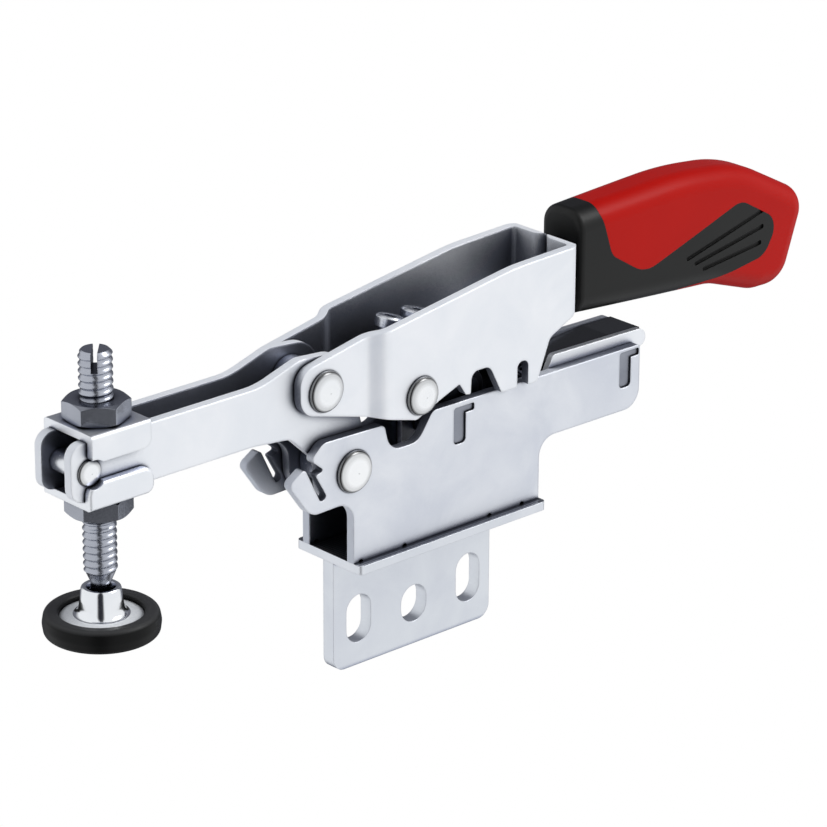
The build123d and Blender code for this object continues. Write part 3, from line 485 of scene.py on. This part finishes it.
# Passivated steel dish: matt and almost white, with a dark line of painted shade where it meets the rubber.
matt_dish, tree = new_material("matt_passivated_steel_dish")
place = add(tree, "ShaderNodeTexCoord").outputs["Object"]
fine = add(tree, "ShaderNodeTexNoise", {"Vector": place, "Scale": 1 / (0.4 * MM), "Detail": 2.0}).outputs[0]
tone = ramp(tree, fine, [(0.3, linear("#E4E6EA")), (0.7, linear("#F2F4F6"))])
# Painted shade: ambient occlusion paints a dark line next to the hub and the rubber.
near_air = add(tree, "ShaderNodeAmbientOcclusion", {"Distance": 2.2 * MM}, samples=8).outputs["AO"]
painted_seam_shade = ramp(tree, near_air, [(0.45, 0.03), (0.85, 1.0)])
shaded = add(tree, "ShaderNodeMix", {"Factor": 1.0, "A": tone, "B": painted_seam_shade}, data_type="RGBA",
             blend_type="MULTIPLY")
bump = add(tree, "ShaderNodeBump", {"Height": fine, "Strength": 0.03, "Distance": 0.05 * MM})
surface = add(tree, "ShaderNodeBsdfPrincipled", {"Base Color": shaded.outputs["Result"], "Metallic": 0.25,
                                                 "Roughness": 0.6, "Normal": bump.outputs[0]})
add(tree, "ShaderNodeOutputMaterial", {"Surface": surface.outputs[0]})
mesh.materials.append(matt_dish)
for face in mesh.polygons:
    offset = face.center - Vector(((cup_low.x + cup_high.x) / 2, 0, face.center.z))
    if offset.length > DISH_FROM and face.normal.z > 0.5:
        face.material_index = 1
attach(cup, "pad")
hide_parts("pad_cup")


# ---- Pad ring: moulded rubber ----
# A ring of nitrile rubber is pressed over the cup's rim and is what meets the workpiece.
def moulded(name, colour, dark, roughness, grain_mm=0.35, grain=0.05, edge_mm=0.2, specular=0.3, painted_sheen=None):
    """Moulded plastic or rubber with a fine eroded grain and painted shade in its grooves and crevices, and a
    painted pale sheen on upward faces if a colour is given.
    """
    material, tree = new_material(name)
    place = add(tree, "ShaderNodeTexCoord").outputs["Object"]
    fine = add(tree, "ShaderNodeTexNoise", {"Vector": place, "Scale": 1 / (grain_mm * MM),
                                            "Detail": 2.0}).outputs[0]
    broad = add(tree, "ShaderNodeTexNoise", {"Vector": place, "Scale": 1 / (30 * MM), "Detail": 2.0}).outputs[0]
    tone = ramp(tree, broad, [(0.3, linear(dark)), (0.7, linear(colour))])
    # Painted shade: ambient occlusion darkens the base colour in grooves and crevices.
    near_air = add(tree, "ShaderNodeAmbientOcclusion", {"Distance": 2.5 * MM}, samples=8).outputs["AO"]
    painted_groove_shade = ramp(tree, near_air, [(0.45, 0.12), (0.95, 1.0)])
    toned = add(tree, "ShaderNodeMix", {"Factor": 1.0, "A": tone, "B": painted_groove_shade}, data_type="RGBA",
                blend_type="MULTIPLY")
    # Painted sheen: faces that point up are mixed towards a pale colour.
    if painted_sheen:
        normal = add(tree, "ShaderNodeTexCoord").outputs["Normal"]
        facing = add(tree, "ShaderNodeSeparateXYZ", {"Vector": normal})
        upward = ramp(tree, facing.outputs["Z"], [(0.35, 0.0), (0.85, 1.0)])
        toned = add(tree, "ShaderNodeMix", {"Factor": upward, "A": toned.outputs["Result"], "B": linear(painted_sheen)},
                    data_type="RGBA")
    edge = add(tree, "ShaderNodeBevel", {"Radius": edge_mm * MM}, samples=4)
    bump = add(tree, "ShaderNodeBump", {"Height": fine, "Strength": grain, "Distance": 0.05 * MM,
                                        "Normal": edge.outputs[0]})
    surface = add(tree, "ShaderNodeBsdfPrincipled", {
        "Base Color": toned.outputs["Result"], "Roughness": roughness,
        "Specular IOR Level": specular, "IOR": 1.5, "Normal": bump.outputs[0]})
    add(tree, "ShaderNodeOutputMaterial", {"Surface": surface.outputs[0]})
    return material


# Nitrile rubber: deep black and slightly glossy, with a grey painted sheen on the face that lies upwards.
paint(["pad_ring"], moulded("black_nitrile_rubber", "#0A0A0A", "#060606", 0.4, specular=0.16,
                             painted_sheen="#3A3A3B"))

# ---- Rear buffer: moulded nylon ----
# A strip that lies on the rear guide, which the handle comes down on when the clamp is shut.
# Nylon from a polished mould: black and the glossiest of the plastics.
paint(["rear_buffer"], moulded("black_nylon", "#101114", "#0C0D10", 0.25, specular=0.5))

# ---- Grip core: moulded polypropylene ----
# The hard part of the grip is moulded over the handle's tang and gives it its shape.
# Polypropylene: saturated red and satin, with one soft band of light along its upper shoulder.
paint(["grip_core"], moulded("red_polypropylene", "#B50F06", "#AE0D05", 0.36, specular=0.11))

# ---- Grip's soft part: overmoulded elastomer ----
# A collar and a finger panel with three grooves are moulded onto the core in a second shot.
# Soft elastomer: charcoal and finely eroded, so it is duller than the red beside it, and darker in its grooves
# by painted shade.
paint(["grip_soft"], moulded("black_soft_elastomer", "#161615", "#121211", 0.4, grain=0.1, specular=0.24))
